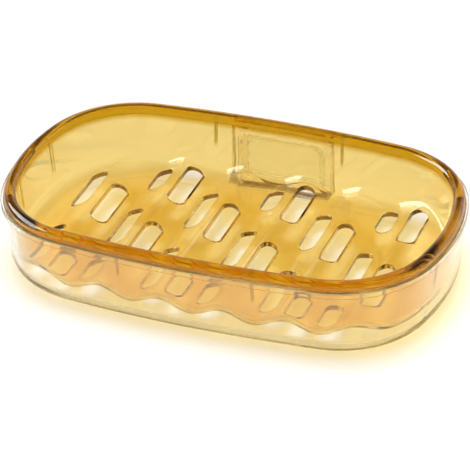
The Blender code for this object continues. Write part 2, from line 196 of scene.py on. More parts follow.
class TraySizes(bpy.types.PropertyGroup):
    """Sizes of the amber drain tray."""

    bead_radius: length("Bead radius", "Radius of the round bead on the rim", BEAD_RADIUS)
    bead_height: length("Bead height", "Height of the bead's middle", TRAY_HIGH.z - BEAD_RADIUS)
    seat_drop: length("Seat drop", "How far the bead's seat is below its middle", 0.0014)
    wall: length("Wall", "Thickness of the wall", 0.0014)
    wall_inset: length("Wall inset", "How far the wall is inside the bead's middle", 0.00005)
    floor: length("Floor", "Thickness of the floor", 0.0016)
    floor_height: length("Floor height", "Height of the floor's top at the middle of its wave", 0.0076)
    fillet: length("Fillet", "Inner radius between floor and wall", 0.0032)
    draft: rotation("Draft", "Lean of the walls of tray and tub", 3.9)
    wave_pitch: length("Wave pitch", "Length of one wave of the floor", 0.0189)
    wave_height: length("Wave height", "Height of a wave from trough to crest", 0.0028)
    wave_shift: length("Wave shift", "Place of the trough nearest to the middle", 0.0005)
    waves_each_side: count("Waves each side", "Whole waves on each side of that trough", 3)
    columns_each_side: count("Columns each side", "Columns of slots on each side of the middle", 6)
    slot_spacing: length("Slot spacing", "Distance between two columns of slots", 0.0091)
    slot_shift: length("Slot shift", "Place of the column nearest to the middle", 0.00245)
    slot_width: length("Slot width", "Width of a drain slot", 0.0050)
    slot_long: length("Long slot", "Length of a long drain slot", 0.0200)
    slot_into_corner: length("Slot into corner", "How far an end slot runs into the fillet", 0.0037)
    slot_edge: length("Slot edge", "Radius of the edge round a slot", 0.00035)
    rib_long: length("End rib", "Length of a centring rib on a short side", 0.0115)
    rib_short: length("Side rib", "Length of a centring rib on a long side", 0.0080)
    rib_width: length("Rib width", "Width of a centring rib", 0.0009)
    rib_proud: length("Rib height", "How far a rib stands off the wall at its top", 0.0004)
    rib_round: length("Rib rounding", "Rounding of a rib's long edges", 0.00035)
    rib_tip: length("Rib tip", "How far a rib stands off the wall at its foot", 0.0001)
    rib_from_middle_x: length("Side rib place", "Distance of a side rib from the middle", 0.0204)
    rib_from_middle_y: length("End rib place", "Distance of an end rib from the middle", 0.0110)

    @property
    def seat_height(self):
        return self.bead_height - self.seat_drop

    @property
    def outer(self):
        return -self.wall_inset

    @property
    def inner(self):
        return self.outer - self.wall

    @property
    def foot_round(self):
        return self.fillet + self.wall

    @property
    def slope(self):
        return sin(self.draft) / cos(self.draft)

    @property
    def floor_edge(self):
        rise = self.seat_height - self.floor_height - self.fillet
        return self.inner - rise * self.slope - self.fillet


class TubSizes(bpy.types.PropertyGroup):
    """Sizes of the clear tub and of the socket on its back."""

    wall: length("Wall", "Thickness of the wall", 0.0014)
    floor: length("Floor", "Thickness of the floor", 0.0020)
    fillet: length("Fillet", "Outer radius between floor and wall", 0.0055)
    tray_clearance: length("Tray clearance", "Gap between tray and tub", 0.0007)
    seat_gap: length("Seat gap", "Gap under the bead's seat", 0.0003)
    lip_proud: length("Lip", "How far the lip stands out from the wall", 0.0008)
    lip_height: length("Lip height", "Height of the lip", 0.0019)
    lip_below_bead: length("Lip below bead", "How far the lip's top is below the bead's middle", 0.0008)
    lip_round: length("Lip round", "Radius of the lip's edges", 0.00025)
    socket_width: length("Socket width", "Width of the block on the back", 0.0322)
    socket_depth: length("Socket depth", "How far the block stands out from the back", 0.0037)
    socket_height: length("Socket height", "Height of the block", 0.0204)
    socket_edge: length("Socket edge", "Radius of the block's outer edges", 0.0010)
    socket_back_wall: length("Socket back wall", "Thickness of the lips round the window", 0.0014)
    socket_lip: length("Socket lip", "Width of the lips on both sides of the window", 0.0042)
    socket_top_bar: length("Socket top bar", "Height of the bar above the window", 0.0040)
    socket_front_wall: length("Socket front wall", "Wall between channel and tub", 0.0003)
    channel_roof: length("Channel roof", "Thickness above the tongue's channel", 0.0018)
    window_corner: length("Window corner", "Radius of the window's upper corners", 0.0030)


class PlateSizes(bpy.types.PropertyGroup):
    """Sizes of the wall plate and of the suction pad on it."""

    tongue: length("Tongue", "Thickness of the tongue", 0.0013)
    tongue_corner: length("Tongue corner", "Radius of the tongue's upper corners", 0.0030)
    tongue_lead_in: length("Lead-in", "Bevel that leads the tongue into its channel", 0.0004)
    gap: length("Gap", "Clearance round the tongue and the neck", 0.0003)
    flange: length("Flange", "Thickness of the flange", 0.0014)
    flange_inside: length("Flange inset", "How far the flange is inside the socket's sides", 0.0007)
    flange_below: length("Flange drop", "How far the flange ends below the socket's top", 0.0020)
    flange_corner: length("Flange corner", "Radius of the flange's upper corners", 0.0040)
    flange_edge: length("Flange edge", "Bevel of the flange's edges", 0.0003)
    recess_inset: length("Recess inset", "How far the pad's recess is inside the flange", 0.0024)
    recess_depth: length("Recess depth", "Depth of the flange's recess for the pad", 0.0008)
    recess_corner: length("Recess corner", "Radius of the recess's corners", 0.0025)
    pad: length("Pad", "Thickness of the soft pad", 0.0027)
    pad_inset: length("Pad inset", "How far the pad is inside the flange above and below", 0.0003)
    pad_corner: length("Pad corner", "Radius of the pad's corners", 0.0055)
    pad_rim: length("Pad rim", "Width of the flat rim that meets the wall", 0.0016)
    pad_dish: length("Pad dish", "Depth of the hollow inside the rim", 0.0009)
    pad_slope: length("Pad slope", "Width of the hollow's slope", 0.0022)
    key_gap: length("Key gap", "Clearance round the pad's key in its recess", 0.0002)


class Finishes(bpy.types.PropertyGroup):
    """Colours and gloss of the four mouldings."""

    amber: tint("Amber", "Colour of one pass through an amber wall", (0.95, 0.745, 0.275))
    # Painted shade: a deeper tint on the rim stands in for how dark the thick bead looks in the light;
    # the tray is all one amber
    amber_rim_painted_shade: tint("Amber rim", "Colour of one pass through the deeper rim", (0.68, 0.37, 0.01))
    # Painted shade: a darker tint on the ribs stands in for the dark lines that they show in the light
    amber_rib_painted_shade: tint("Amber rib", "Colour of one pass through a centring rib", (0.52, 0.32, 0.02))
    amber_depth: tint("Amber depth", "Colour that thick amber lets through", (0.76, 0.60, 0.15))
    amber_density: amount("Amber density", "Strength of the amber's depth, per metre", 35.0)
    amber_kept: share("Amber's share", "Share of a lamp's light that an amber face keeps", 0.88)
    amber_ripple: amount("Amber ripple", "Ripples in a metre of the tray", 90.0)
    # Heights over which the rim's painted shade comes in
    rim_shade_low: length("Rim's foot", "Height at which the deeper tint begins", 0.0207)
    rim_shade_high: length("Rim's full height", "Height at which the deeper tint is full", 0.0222)
    clear: tint("Clear", "Colour of one pass through the clear tub", (0.985, 0.975, 0.94))
    clear_depth: tint("Clear depth", "Colour that a thick part of the tub lets through",
                      (0.95, 0.91, 0.78))
    clear_density: amount("Clear density", "Strength of the clear plastics' depth, per metre", 60.0)
    clear_kept: share("Tub's share", "Share of a lamp's light that a face of the tub keeps", 0.96)
    clear_ripple: amount("Tub ripple", "Ripples in a metre of the tub", 70.0)
    plate: tint("Plate", "Colour of one pass through the wall plate", (0.985, 0.985, 0.975))
    pad: tint("Pad", "Colour of one pass through the soft pad", (0.97, 0.97, 0.95))
    plate_kept: share("Plate's share", "Share of a lamp's light that plate and pad keep", 0.98)
    plate_ripple: amount("Plate ripple", "Ripples in a metre of plate and pad", 120.0)
    polish: share("Polish", "Roughness of the tray's faces", 0.01)
    tub_polish: share("Tub polish", "Roughness of the tub's faces", 0.05)
    plate_polish: share("Plate polish", "Roughness of the wall plate's faces", 0.12)
    soft_polish: share("Soft polish", "Roughness of the soft pad", 0.2)
    handling: share("Handling", "Roughness that handling adds in places", 0.03)
    soft_handling: share("Soft handling", "Roughness that handling adds to the pad", 0.05)
    index: amount("Refractive index", "How strongly tray and tub bend light", 1.49)
    plate_index: amount("Plate's refractive index", "How strongly plate and pad bend light", 1.2)


class StageSettings(bpy.types.PropertyGroup):
    """Floor, lights and camera."""

    floor_colour: tint("Floor colour", "Colour of the floor", (0.9, 0.9, 0.9))
    floor_glow: share("Floor glow", "How much the floor is lifted to white for the camera", 0.09)
    room_colour: tint("Room colour", "What gloss and glass see of the room in front", (0.22, 0.12, 0.04))
    sky_strength: amount("Sky strength", "Light from all round", 0.2)
    azimuth: rotation("Azimuth", "Camera's turn round the holder", 22.244)
    elevation: rotation("Elevation", "Camera's height above the horizon", 32.151)
    roll: rotation("Roll", "Camera's roll", -2.0)
    distance: length("Distance", "Camera's distance from the rim's middle", 0.7758)
    aim_height: length("Aim height", "Height that the camera looks at", 0.0238)
    focal_length: amount("Focal length", "Lens in millimetres", 204.08)
    shift_x: FloatProperty(name="Shift X", description="Sideways shift of the frame", default=0.00381)
    shift_y: FloatProperty(name="Shift Y", description="Upward shift of the frame", default=-0.09061)


# Meshes


def arc(offset, height, radius, start, end, steps):
    """Points of a section on an arc; each is an offset from the outline and a height."""
    angles = [start + (end - start) * step / steps for step in range(steps + 1)]
    return [(offset + radius * cos(angle), height + radius * sin(angle)) for angle in angles]


def sweep(section, rim, long_steps, corner_steps, short_steps):
    """Spin a section about the centres of a quarter's three arcs, and mirror that quarter."""
    bm = bmesh.new()
    points = [bm.verts.new((rim.long_side / 2 + out, 0.0, up)) for out, up in section]
    geom = points + [bm.edges.new(pair) for pair in zip(points, points[1:])]
    long_angle = asin(rim.corner_x / rim.long_arc)
    short_angle = asin(rim.corner_y / rim.short_arc)
    turns = (
        ((rim.short_centre_x, 0.0, 0.0), short_angle, short_steps),
        ((rim.corner_x, rim.corner_y, 0.0), pi / 2 - short_angle - long_angle, corner_steps),
        ((0.0, rim.long_centre_y, 0.0), long_angle, long_steps),
    )
    for centre, angle, steps in turns:
        spun = bmesh.ops.spin(bm, geom=geom, cent=centre, axis=(0, 0, 1), angle=angle, steps=steps)
        geom = spun["geom_last"]
    for axis in "XY":
        quarter = bm.verts[:] + bm.edges[:] + bm.faces[:]
        bmesh.ops.mirror(bm, geom=quarter, axis=axis, merge_dist=MERGE_DISTANCE)
    bmesh.ops.remove_doubles(bm, verts=bm.verts, dist=MERGE_DISTANCE)
    bmesh.ops.holes_fill(bm, edges=[edge for edge in bm.edges if edge.is_boundary], sides=0)
    return bm


def make_object(name, bm):
    """Turn a bmesh into a named object in the scene."""
    bmesh.ops.remove_doubles(bm, verts=bm.verts, dist=MERGE_DISTANCE)
    bmesh.ops.recalc_face_normals(bm, faces=bm.faces)
    mesh = bpy.data.meshes.new(name)
    bm.to_mesh(mesh)
    bm.free()
    thing = bpy.data.objects.new(name, mesh)
    bpy.context.scene.collection.objects.link(thing)
    return thing


def combine(body, tool, operation):
    """Cut a tool shape from a body, or join it on, and take the tool away."""
    modifier = body.modifiers.new(tool.name, "BOOLEAN")
    modifier.operation = operation
    modifier.object = tool
    modifier.solver = "EXACT"
    shaped = body.evaluated_get(bpy.context.evaluated_depsgraph_get())
    mesh = bpy.data.meshes.new_from_object(shaped)
    body.modifiers.clear()
    body.data = mesh
    bpy.data.objects.remove(tool, do_unlink=True)


def smooth(thing):
    """Smooth shading that keeps the moulded edges crisp."""
    thing.data.shade_smooth()
    thing.data.set_sharp_from_angle(angle=SHARP_ANGLE)
    weighted = thing.modifiers.new("even_shading", "WEIGHTED_NORMAL")
    weighted.keep_sharp = True


def block(bm, half_x, front, back, low, high):
    """An upright block, symmetrical about x = 0."""
    made = bmesh.ops.create_cube(bm, size=1.0)
    bmesh.ops.scale(bm, verts=made["verts"], vec=(2 * half_x, back - front, high - low))
    bmesh.ops.translate(bm, verts=made["verts"], vec=(0.0, (front + back) / 2, (low + high) / 2))
    return made["verts"]


def round_edges(bm, keep, radius, segments):
    """Bevel the edges that a test keeps; it is given each edge's two ends."""
    edges = [edge for edge in bm.edges if keep(edge.verts[0].co, edge.verts[1].co)]
    bmesh.ops.bevel(bm, geom=edges, offset=radius, offset_type="OFFSET", affect="EDGES",
                    segments=segments, profile=0.5, material=-1)


def along_y(start, end):
    """Whether an edge runs from front to back."""
    return abs(start.x - end.x) + abs(start.z - end.z) < abs(start.y - end.y) / 2


def panel(half_x, front, back, low, high, top_radius, foot_radius):
    """An upright plate whose corners are rounded as seen from the back."""
    bm = bmesh.new()
    block(bm, half_x, front, back, low, high)
    middle = (low + high) / 2
    if top_radius:
        round_edges(bm, lambda a, b: along_y(a, b) and a.z > middle, top_radius, CORNER_STEPS)
    if foot_radius:
        round_edges(bm, lambda a, b: along_y(a, b) and a.z < middle, foot_radius, CORNER_STEPS)
    return bm


# Drain tray


def wave(tray, x):
    """Height of the floor's wave above its middle, with flat ends."""
    limit = tray.waves_each_side
    along = max(-limit, min(limit, (x - tray.wave_shift) / tray.wave_pitch))
    return -tray.wave_height / 2 * cos(2 * pi * along)


def tray_section(tray):
    """Half of the tray cut across, from under its floor, over the bead, to its floor."""
    foot_middle = tray.floor_height - tray.floor + tray.foot_round
    foot = tray.outer - (tray.seat_height - foot_middle) * tray.slope - tray.foot_round
    bead_start = -asin(tray.seat_drop / tray.bead_radius)
    bead_end = pi + asin(sqrt(tray.bead_radius ** 2 - tray.inner ** 2) / tray.bead_radius)
    fillet_middle = tray.floor_height + tray.fillet
    return [
        *arc(foot, foot_middle, tray.foot_round, -pi / 2, 0.0, TRAY_FOOT_STEPS),
        (tray.outer, tray.seat_height),
        *arc(0.0, tray.bead_height, tray.bead_radius, bead_start, bead_end, BEAD_STEPS),
        *arc(tray.floor_edge, fillet_middle, tray.fillet, 0.0, -pi / 2, FILLET_STEPS),
    ]


def divide_floor(bm):
    """Divide both flat faces that close the sweep into strips along y, so that they can wave."""
    for face in [face for face in bm.faces if len(face.verts) > 4]:
        back = [corner for corner in face.verts if corner.co.y > MERGE_DISTANCE]
        front = [corner for corner in face.verts if corner.co.y < -MERGE_DISTANCE]
        for corner in back:
            mate = min(front, key=lambda other: abs(other.co.x - corner.co.x))
            bmesh.ops.connect_verts(bm, verts=[corner, mate])


def tray_shell(rim, tray):
    """Bead, drafted wall, filleted corner and wavy floor as one moulding."""
    bm = sweep(tray_section(tray), rim, *TRAY_STEPS)
    divide_floor(bm)
    waved = tray.floor_height + tray.fillet + MERGE_DISTANCE
    for corner in bm.verts:
        if corner.co.z < waved:
            corner.co.z += wave(tray, corner.co.x)
    return bm


def slots(rim, tray):
    """Middle of each slot, as x, and its two ends, as y. Four kinds of column repeat."""
    found = []
    kinds = len(SLOT_START_SHARES)
    half = tray.slot_width / 2
    for column in range(-tray.columns_each_side, tray.columns_each_side):
        x = tray.slot_shift + column * tray.slot_spacing
        radius = rim.corner_radius + tray.floor_edge
        past = max(0.0, abs(x) + half - rim.corner_x)
        limit = rim.corner_y + sqrt(radius ** 2 - past ** 2) + tray.slot_into_corner
        kind = (column + tray.columns_each_side) % kinds
        for begin, size in zip(SLOT_START_SHARES[kind], SLOT_LENGTH_SHARES[kind]):
            start = begin * tray.slot_long
            end = start + size * tray.slot_long
            found.append((x, max(start, -limit), min(end, limit)))
    return found


def slot_rings(tray):
    """Offsets and heights of the loops that a slot's cutter is extruded through."""
    top = tray.floor_height
    low = tray.floor_height - tray.floor
    edge = tray.slot_edge
    reach = 4 * tray.floor
    past = edge / 10
    angles = [radians(angle) for angle in SLOT_EDGE_ANGLES]
    above = [(edge * (1 - cos(angle)), top - edge + edge * sin(angle)) for angle in angles]
    below = [(offset, low - (height - top)) for offset, height in reversed(above)]
    widest = above[-1][0] + past
    return [(widest, low - reach), (widest, low - past), *below,
            *above, (widest, top + past), (widest, top + reach)]


def slot_cutter(rim, tray):
    """A round-ended bar for each slot, flared so that it leaves rounded edges."""
    bm = bmesh.new()
    radius = tray.slot_width / 2
    rings = slot_rings(tray)
    half_step = Matrix.Rotation(pi / SLOT_END_STEPS, 4, "Z")
    for x, start, end in slots(rim, tray):
        ring = bmesh.ops.create_circle(bm, radius=radius, segments=SLOT_END_STEPS,
                                       matrix=half_step)["verts"]
        edges = list({edge for corner in ring for edge in corner.link_edges})
        for corner in ring:
            middle = end - radius if corner.co.y > 0 else start + radius
            corner.co += Vector((x, middle, 0.0))
        for number, (offset, height) in enumerate(rings):
            if number:
                grown = bmesh.ops.extrude_edge_only(bm, edges=edges)["geom"]
                ring = [item for item in grown if isinstance(item, bmesh.types.BMVert)]
                edges = [item for item in grown if isinstance(item, bmesh.types.BMEdge)
                         and item.verts[0] in ring and item.verts[1] in ring]
            for corner in ring:
                middle = end - radius if corner.co.y > (start + end) / 2 else start + radius
                around = Vector((corner.co.x - x, corner.co.y - middle, 0.0)).normalized()
                around *= radius + offset
                across = x + around.x
                corner.co = (across, middle + around.y, height + wave(tray, across))
    bmesh.ops.holes_fill(bm, edges=[edge for edge in bm.edges if edge.is_boundary], sides=0)
    return make_object("slot_cutter", bm)


def ribs(rim, tray):
    """Each rib's arc centre, the way that it faces, the arc's radius and its length."""
    found = []
    for side_x in (-1, 1):
        for side_y in (-1, 1):
            radius = rim.long_arc + rim.corner_radius
            across = tray.rib_from_middle_x / radius
            facing = Vector((side_x * across, side_y * sqrt(1 - across ** 2), 0.0))
            centre = Vector((0.0, side_y * rim.long_centre_y, 0.0))
            found.append((centre, facing, radius, tray.rib_short))
            radius = rim.short_arc + rim.corner_radius
            across = tray.rib_from_middle_y / radius
            facing = Vector((side_x * sqrt(1 - across ** 2), side_y * across, 0.0))
            centre = Vector((side_x * rim.short_centre_x, 0.0, 0.0))
            found.append((centre, facing, radius, tray.rib_long))
    return found


def rib_shapes(rim, tray):
    """Wedges that taper to almost nothing down the wall, rooted in wall and bead."""
    bm = bmesh.new()
    top = tray.seat_height + tray.seat_drop / 2
    root = tray.wall / 2
    for centre, facing, radius, size in ribs(rim, tray):
        foot = tray.seat_height - size
        wedge = bmesh.ops.create_cube(bm, size=1.0)["verts"]
        bmesh.ops.scale(bm, verts=wedge, vec=(1.0, tray.rib_width, 1.0))
        outer = [corner for corner in wedge if corner.co.x > 0]
        ridge = [edge for edge in bm.edges if edge.verts[0] in outer and edge.verts[1] in outer
                 and edge.verts[0].co.z * edge.verts[1].co.z < 0]
        for corner in wedge:
            height, proud = (top, tray.rib_proud) if corner.co.z > 0 else (foot, tray.rib_tip)
            face = radius + tray.outer - (tray.seat_height - height) * tray.slope
            corner.co.x = face + proud if corner in outer else face - root
            corner.co.z = height
        side = Vector((-facing.y, facing.x, 0.0))
        turn = Matrix((facing, side, (0.0, 0.0, 1.0))).transposed()
        bmesh.ops.transform(bm, matrix=Matrix.Translation(centre) @ turn.to_4x4(), verts=wedge)
        bmesh.ops.bevel(bm, geom=ridge, offset=tray.rib_round, offset_type="OFFSET", affect="EDGES",
                        segments=RIB_EDGE_STEPS, profile=0.5, material=-1)
    return make_object("rib_shapes", bm)


# Clear tub


def tub_wall(tray, tub, face, height):
    """Offset of a drafted wall face that is at this offset at the shelf."""
    return face - (tray.seat_height - tub.seat_gap - height) * tray.slope


def tub_outside(rim, tray, tub):
    """Solid outside of the tub: filleted foot, drafted wall and stepped lip."""
    outer = tray.outer + tub.tray_clearance + tub.wall
    lip_top = tray.bead_height - tub.lip_below_bead
    lip_bottom = lip_top - tub.lip_height
    lip = outer + tub.lip_proud - tub.lip_round
    foot = tub_wall(tray, tub, outer, tub.fillet) - tub.fillet
    section = [
        *arc(foot, tub.fillet, tub.fillet, -pi / 2, 0.0, TUB_FOOT_STEPS),
        (outer, lip_bottom),
        *arc(lip, lip_bottom + tub.lip_round, tub.lip_round, -pi / 2, 0.0, LIP_STEPS),
        *arc(lip, lip_top - tub.lip_round, tub.lip_round, 0.0, pi / 2, LIP_STEPS),
    ]
    return sweep(section, rim, *TUB_STEPS)


def tub_inside(rim, tray, tub):
    """Everything that the tub is hollowed by: basin, shelf and bead recess."""
    inner = tray.outer + tub.tray_clearance
    radius = tub.fillet - tub.wall
    foot = tub_wall(tray, tub, inner, tub.floor + radius) - radius
    lip_top = tray.bead_height - tub.lip_below_bead
    recess = sqrt((tray.bead_radius + tub.seat_gap) ** 2 - tub.lip_below_bead ** 2)
    seat = sqrt(tray.bead_radius ** 2 - tray.seat_drop ** 2) + tub.seat_gap
    section = [
        *arc(foot, tub.floor + radius, radius, -pi / 2, 0.0, TUB_FOOT_STEPS),
        (inner, tray.seat_height - tub.seat_gap),
        (seat, tray.seat_height - tub.seat_gap),
        (recess, lip_top),
        (recess, lip_top + tub.fillet),
    ]
    return make_object("tub_inside", sweep(section, rim, *TUB_STEPS))


def back_of_tub(rim, tray, tub):
    """How far back the tub's wall is, at the height of the shelf."""
    return rim.short_side / 2 + tray.outer + tub.tray_clearance + tub.wall


def socket_block(rim, tray, tub):
    """The boss on the tub's back wall that the socket is cut in."""
    bm = bmesh.new()
    back = back_of_tub(rim, tray, tub)
    block(bm, tub.socket_width / 2, back - tub.fillet, back + tub.socket_depth, 0.0, tub.socket_height)
    middle = back - tub.fillet / 2

    def outer_edge(start, end):
        at_back = min(start.y, end.y) > middle
        upright = abs(start.z - end.z) > tub.socket_height / 2
        at_top = min(start.z, end.z) > tub.socket_height / 2
        return at_back and (upright or at_top)

    round_edges(bm, outer_edge, tub.socket_edge, SOCKET_EDGE_STEPS)
    return make_object("socket_block", bm)


def key_shape(name, tub, plate, front, back, gap):
    """The rounded block that keys pad and plate together, smaller all round by a gap."""
    inset = plate.recess_inset + gap
    half = tub.socket_width / 2 - plate.flange_inside - inset
    top = tub.socket_height - plate.flange_below - inset
    corner = plate.recess_corner - gap
    return make_object(name, panel(half, front, back, inset, top, corner, corner))


# Finishes


def give(tree, socket, value):
    """Link a socket to this one, or set its value; a colour is made opaque."""
    if isinstance(value, bpy.types.NodeSocket):
        tree.links.new(value, socket)
    elif socket.type == "RGBA":
        socket.default_value = (*value, 1.0)
    else:
        socket.default_value = value


def fill(tree, made, **inputs):
    """Give a node's named inputs their sockets or values, and return the node."""
    for name, value in inputs.items():
        give(tree, made.inputs[name.replace("_", " ")], value)
    return made


def node(tree, kind, **inputs):
    """Add a node, and return its outputs."""
    return fill(tree, tree.nodes.new(kind), **inputs).outputs


def calculate(tree, operation, *values):
    """Work out one value from others; each is a socket or a number."""
    made = tree.nodes.new("ShaderNodeMath")
    made.operation = operation
    for socket, value in zip(made.inputs, values):
        give(tree, socket, value)
    return made.outputs["Value"]


def ramp(tree, value, start, end, low=0.0, high=1.0):
    """Carry a range of values over to another one, held at its ends."""
    return node(tree, "ShaderNodeMapRange", Value=value, From_Min=start, From_Max=end,
                To_Min=low, To_Max=high)["Result"]


def mix(tree, part, first, second):
    """Blend from a first colour to a second one."""
    made = tree.nodes.new("ShaderNodeMix")
    made.data_type = "RGBA"
    return fill(tree, made, Factor=part, A=first, B=second).outputs["Result"]


def effect(name, inputs, outputs):
    """Start a shared effect: its node group, its own inputs and its last node."""
    group = bpy.data.node_groups.new(name, "ShaderNodeTree")
    for way, sockets in (("INPUT", inputs), ("OUTPUT", outputs)):
        for label, kind in sockets.items():
            group.interface.new_socket(name=label, in_out=way, socket_type=kind)
    given = node(group, "NodeGroupInput") if inputs else None
    return group, given, group.nodes.new("NodeGroupOutput")


def placed(tree, group, **inputs):
    """Put a shared effect in a material, and return its outputs."""
    made = tree.nodes.new("ShaderNodeGroup")
    made.node_tree = group
    return fill(tree, made, **inputs).outputs


def moulded_face():
    """Shared effect: slight changes of polish, and the faint ripple of a moulded face."""
    name = "moulded_face"
    if name in bpy.data.node_groups:
        return bpy.data.node_groups[name]
    inputs = {"Polish": FLOAT, "Handling": FLOAT, "Ripple": FLOAT, "Ripple Scale": FLOAT}
    group, given, result = effect(name, inputs, {"Roughness": FLOAT, "Normal": VECTOR})
    place = node(group, "ShaderNodeTexCoord")["Object"]
    smears = node(group, "ShaderNodeTexNoise", Vector=place, **SMEAR_NOISE)
    worn = calculate(group, "MULTIPLY_ADD", ramp(group, smears["Fac"], *SMEAR_RANGE),
                     given["Handling"], given["Polish"])
    ripple = node(group, "ShaderNodeTexNoise", Vector=place, Scale=given["Ripple Scale"],
                  **RIPPLE_NOISE)
    bump = node(group, "ShaderNodeBump", Height=ripple["Fac"], Distance=given["Ripple"],
                Strength=1.0)
    fill(group, result, Roughness=worn, Normal=bump["Normal"])
    return group


def rim_tint():
    """Effect: painted shade, one colour that turns into another over a range of heights."""
    inputs = {"Body": COLOR, "Rim": COLOR, "Low": FLOAT, "High": FLOAT}
    group, given, result = effect("rim_tint", inputs, {"Color": COLOR})
    place = node(group, "ShaderNodeTexCoord")["Object"]
    height = node(group, "ShaderNodeSeparateXYZ", Vector=place)["Z"]
    raised = ramp(group, height, given["Low"], given["High"])
    fill(group, result, Color=mix(group, raised, given["Body"], given["Rim"]))
    return group


def rib_mask(rim, tray):
    """Effect: where the ribs' painted shade goes, 1 on the centring ribs and 0 elsewhere, by place on
    the tray.
    """
    group, _, result = effect("rib_mask", {}, {"Mask": FLOAT})
    place = node(group, "ShaderNodeTexCoord")["Object"]
    axes = node(group, "ShaderNodeSeparateXYZ", Vector=place)
    half = tray.rib_width / 2
    masks = []
    for along, across, middle, wall, size in (
            ("X", "Y", tray.rib_from_middle_x, rim.short_side / 2, tray.rib_short),
            ("Y", "X", tray.rib_from_middle_y, rim.long_side / 2, tray.rib_long)):
        beside = calculate(group, "ABSOLUTE", axes[along])
        apart = calculate(group, "ABSOLUTE", calculate(group, "SUBTRACT", beside, middle))
        out = calculate(group, "ABSOLUTE", axes[across])
        thin = ramp(group, apart, half, half * RIB_CORE_SHARE)
        outer = ramp(group, out, wall - RIB_SHADE_START, wall - RIB_SHADE_FULL)
        upper = ramp(group, axes["Z"], tray.seat_height - size,
                     tray.seat_height - size * RIB_FULL_SHARE)
        masks.append(calculate(group, "MULTIPLY", calculate(group, "MULTIPLY", thin, outer), upper))
    fill(group, result, Mask=calculate(group, "MAXIMUM", *masks))
    return group


def blank(name):
    """A new material, its nodes and its shader."""
    material = bpy.data.materials.new(name)
    material.use_nodes = True
    tree = material.node_tree
    return material, tree, tree.nodes["Principled BSDF"]


def see_through(name, index, kept, colour, depth_colour, density, polish, handling, ripples):
    """Plastic tinted in its depth, whose faces keep this share of a lamp's light."""
    material, tree, shader = blank(name)
    face = placed(tree, moulded_face(), Polish=polish, Handling=handling, Ripple=RIPPLE_DEPTH,
                  Ripple_Scale=ripples)
    fill(tree, shader, Base_Color=colour, Metallic=0.0, Transmission_Weight=1.0, IOR=index,
         Roughness=face["Roughness"], Normal=face["Normal"])
    shadow = [kept * sqrt(value) for value in colour]
    through = node(tree, "ShaderNodeBsdfTransparent", Color=shadow)["BSDF"]
    in_shadow = node(tree, "ShaderNodeLightPath")["Is Shadow Ray"]
    mixed = tree.nodes.new("ShaderNodeMixShader")
    for socket, value in zip(mixed.inputs, (in_shadow, shader.outputs["BSDF"], through)):
        give(tree, socket, value)
    depth = node(tree, "ShaderNodeVolumeAbsorption", Color=depth_colour, Density=density)
    fill(tree, tree.nodes["Material Output"], Surface=mixed.outputs["Shader"],
         Volume=depth["Volume"])
    return material


def dress(moulding, material):
    """Smooth a finished moulding and give it its plastic."""
    smooth(moulding)
    moulding.data.materials.clear()
    moulding.data.materials.append(material)


# Operators


class SOAPHOLDER_OT_drain_tray(bpy.types.Operator):
    """Build the amber drain tray with its bead, wavy floor, slots and ribs"""

    bl_idname = "soap_holder.drain_tray"
    bl_label = "Drain Tray"

    def execute(self, context):
        scene = context.scene
        rim, tray, finish = scene.soap_rim, scene.soap_tray, scene.soap_finish
        moulding = make_object("tray_moulding", tray_shell(rim, tray))
        combine(moulding, rib_shapes(rim, tray), "UNION")
        combine(moulding, slot_cutter(rim, tray), "DIFFERENCE")
        material = see_through("amber_plastic", finish.index, finish.amber_kept, finish.amber,
                               finish.amber_depth, finish.amber_density, finish.polish,
                               finish.handling, finish.amber_ripple)
        tree = material.node_tree
        # Painted shade: the amber turns deeper towards the bead, by height
        body = placed(tree, rim_tint(), Body=finish.amber, Rim=finish.amber_rim_painted_shade,
                      Low=finish.rim_shade_low, High=finish.rim_shade_high)["Color"]
        # Painted shade: the ribs are tinted darker
        rib_shading = placed(tree, rib_mask(rim, tray))["Mask"]
        fill(tree, tree.nodes["Principled BSDF"],
             Base_Color=mix(tree, rib_shading, body, finish.amber_rib_painted_shade))
        dress(moulding, material)
        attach(moulding, "tray")
        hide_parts("drain_tray")
        return {"FINISHED"}


class SOAPHOLDER_OT_water_tub(bpy.types.Operator):
    """Build the clear tub with its stepped lip and the socket on its back"""

    bl_idname = "soap_holder.water_tub"
    bl_label = "Water Tub"

    def execute(self, context):
        scene = context.scene
        rim, tray, tub = scene.soap_rim, scene.soap_tray, scene.soap_tub
        plate, finish = scene.soap_plate, scene.soap_finish
        moulding = make_object("tub_moulding", tub_outside(rim, tray, tub))
        combine(moulding, socket_block(rim, tray, tub), "UNION")
        combine(moulding, tub_inside(rim, tray, tub), "DIFFERENCE")
        back = back_of_tub(rim, tray, tub)
        channel_back = back + tub.socket_depth - tub.socket_back_wall
        channel = panel((tub.socket_width - tub.socket_lip) / 2, back + tub.socket_front_wall,
                        channel_back, -tub.fillet, tub.socket_height - tub.channel_roof,
                        plate.tongue_corner + plate.gap, 0.0)
        combine(moulding, make_object("tongue_channel", channel), "DIFFERENCE")
        window = panel(tub.socket_width / 2 - tub.socket_lip, channel_back - plate.gap,
                       channel_back + tub.fillet, -tub.fillet,
                       tub.socket_height - tub.socket_top_bar, tub.window_corner, 0.0)
        combine(moulding, make_object("socket_window", window), "DIFFERENCE")
        dress(moulding, see_through("clear_plastic", finish.index, finish.clear_kept, finish.clear,
                                    finish.clear_depth, finish.clear_density, finish.tub_polish,
                                    finish.handling, finish.clear_ripple))
        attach(moulding, "tub")
        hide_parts("water_tub")
        return {"FINISHED"}


